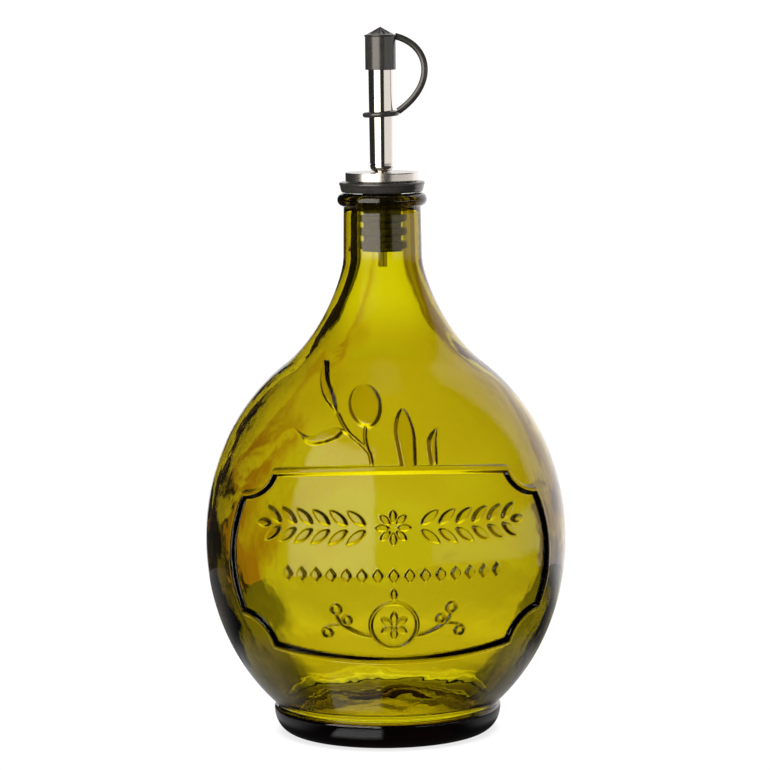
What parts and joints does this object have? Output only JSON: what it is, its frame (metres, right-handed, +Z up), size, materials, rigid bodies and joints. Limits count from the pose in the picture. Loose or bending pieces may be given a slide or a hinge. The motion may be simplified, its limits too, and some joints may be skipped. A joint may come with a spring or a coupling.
{
  "type": "oil pourer bottle",
  "caption": "Round green glass oil bottle with a raised framed panel, a narrow neck and a steel pourer in a rubber stopper, under a tethered rubber cap.",
  "frame": {"origin": "centre of the foot, on the surface that the bottle stands on", "axes": "+Z up along the bottle's axis, -Y towards the front with the framed panel, +X towards the cap's strap"},
  "size_m": [0.1302, 0.1309, 0.2546],
  "materials": {
    "green_glass": "clear moulded glass, olive green",
    "black_rubber": "satin black rubber",
    "steel": "polished tube, brushed disc"
  },
  "bodies": {
    "root": {"bottle": "green_glass", "stopper": "black_rubber", "collar_disc": "steel", "spout": "steel", "breather_tube": "steel", "cap_tether": "black_rubber"}
  },
  "joints": []
}
